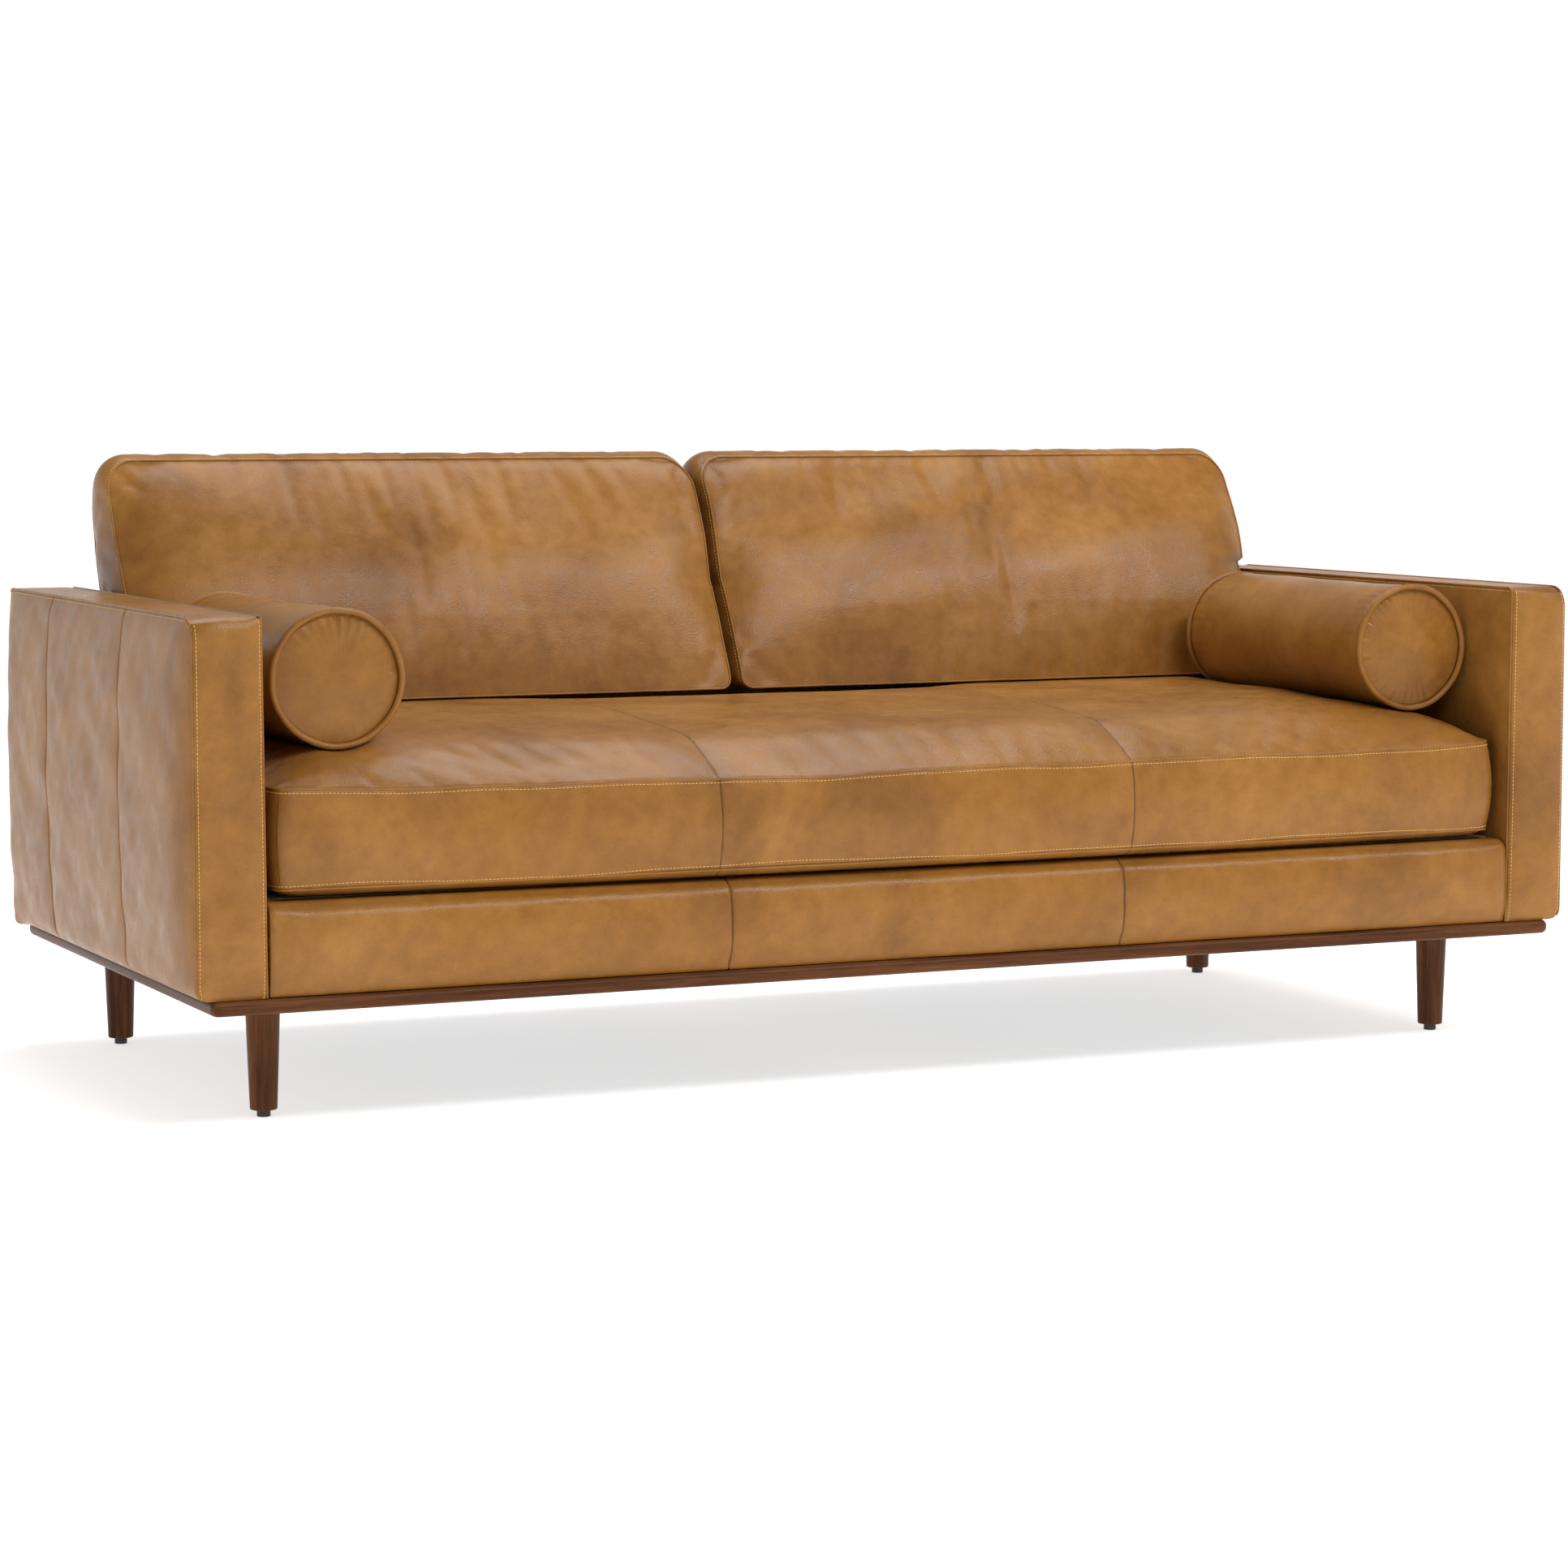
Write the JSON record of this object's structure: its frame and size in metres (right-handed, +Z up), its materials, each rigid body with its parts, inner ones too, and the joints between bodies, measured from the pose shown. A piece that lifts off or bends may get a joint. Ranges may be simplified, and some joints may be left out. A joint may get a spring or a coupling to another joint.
{
  "type": "sofa",
  "caption": "Long leather sofa with slim box arms, a bench seat cushion, loose leaning back cushions, round side bolsters and a wooden plinth on tapered wooden legs.",
  "frame": {"origin": "on the floor at the middle of the footprint, the middle of the underside of the bounding box", "axes": "+X to the right as seen from in front, +Y from the front to the back, +Z up; the seat faces -Y"},
  "size_m": [2.04, 0.9, 0.829],
  "materials": {
    "leather": "pull-up leather in tan, softly mottled, satin",
    "stained_wood": "dark reddish brown stain, satin lacquer",
    "frame_wood": "planed hardwood, unfinished",
    "board": "thin sheet board, unfinished",
    "spring_steel": "oiled spring wire",
    "zinc_steel": "zinc plated",
    "black_plastic": "moulded, matte black",
    "black_cloth": "thin non-woven cloth",
    "deck_cloth": "plain woven cloth in a tan shade",
    "felt": "pressed felt and foam",
    "webbing": "elastic webbing",
    "foam": "open cell foam",
    "filling": "foam core in a fibre wrap"
  },
  "bodies": {
    "sofa_frame": {"arm_base_rails": "frame_wood", "arm_cover_left": "leather", "arm_cover_right": "leather", "arm_foam_left": "foam", "arm_foam_right": "foam", "arm_panels": "board", "arm_posts": "frame_wood", "arm_top_rails": "frame_wood", "back_foam": "foam", "back_panel": "board", "back_ribs": "frame_wood", "back_straps": "webbing", "back_top_rail": "frame_wood", "centre_rail": "frame_wood", "corner_blocks": "frame_wood", "deck_cloth": "deck_cloth", "deck_pad": "felt", "dust_cloth": "black_cloth", "foot_inserts": "zinc_steel", "front_rail_cover": "leather", "front_rail_foam": "foam", "hanger_bolts": "zinc_steel", "inside_back_cover": "leather", "leg_front_left": "stained_wood", "leg_front_right": "stained_wood", "leg_rails": "frame_wood", "leg_rear_left": "stained_wood", "leg_rear_right": "stained_wood", "outside_back_cover": "leather", "plinth_back": "stained_wood", "plinth_front": "stained_wood", "plinth_left": "stained_wood", "plinth_right": "stained_wood", "seat_back_rail": "frame_wood", "seat_end_rails": "frame_wood", "seat_front_rail": "frame_wood", "seat_springs": "spring_steel", "seat_stretchers": "frame_wood", "spring_clips": "zinc_steel", "tee_nuts": "zinc_steel"},
    "seat_cushion": {"seat_cushion_case": "leather", "seat_cushion_filling": "filling"},
    "back_cushion_left": {"back_cushion_left_case": "leather", "back_cushion_left_filling": "filling"},
    "back_cushion_right": {"back_cushion_right_case": "leather", "back_cushion_right_filling": "filling"},
    "bolster_left": {"bolster_left_case": "leather", "bolster_left_filling": "filling", "bolster_piping_left": "leather"},
    "bolster_right": {"bolster_right_case": "leather", "bolster_right_filling": "filling", "bolster_piping_right": "leather"},
    "foot_front_left": {"foot_front_left": "black_plastic", "stud_front_left": "zinc_steel"},
    "foot_front_right": {"foot_front_right": "black_plastic", "stud_front_right": "zinc_steel"},
    "foot_rear_left": {"foot_rear_left": "black_plastic", "stud_rear_left": "zinc_steel"},
    "foot_rear_right": {"foot_rear_right": "black_plastic", "stud_rear_right": "zinc_steel"}
  },
  "joints": [
    {"name": "seat_cushion_pull", "type": "slide", "parent": "sofa_frame", "child": "seat_cushion", "axis": [0, -1, 0], "range_m": [0, 0.8]},
    {"name": "back_cushion_left_lift", "type": "slide", "parent": "sofa_frame", "child": "back_cushion_left", "axis": [0, 0, 1], "range_m": [0, 0.4]},
    {"name": "back_cushion_right_lift", "type": "slide", "parent": "sofa_frame", "child": "back_cushion_right", "axis": [0, 0, 1], "range_m": [0, 0.4]},
    {"name": "bolster_left_lift", "type": "slide", "parent": "sofa_frame", "child": "bolster_left", "axis": [0, 0, 1], "range_m": [0, 0.4]},
    {"name": "bolster_right_lift", "type": "slide", "parent": "sofa_frame", "child": "bolster_right", "axis": [0, 0, 1], "range_m": [0, 0.4]},
    {"name": "foot_front_left_drop", "type": "slide", "parent": "sofa_frame", "child": "foot_front_left", "axis": [0, 0, -1], "range_m": [0, 0.01]},
    {"name": "foot_front_right_drop", "type": "slide", "parent": "sofa_frame", "child": "foot_front_right", "axis": [0, 0, -1], "range_m": [0, 0.01]},
    {"name": "foot_rear_left_drop", "type": "slide", "parent": "sofa_frame", "child": "foot_rear_left", "axis": [0, 0, -1], "range_m": [0, 0.01]},
    {"name": "foot_rear_right_drop", "type": "slide", "parent": "sofa_frame", "child": "foot_rear_right", "axis": [0, 0, -1], "range_m": [0, 0.01]}
  ]
}
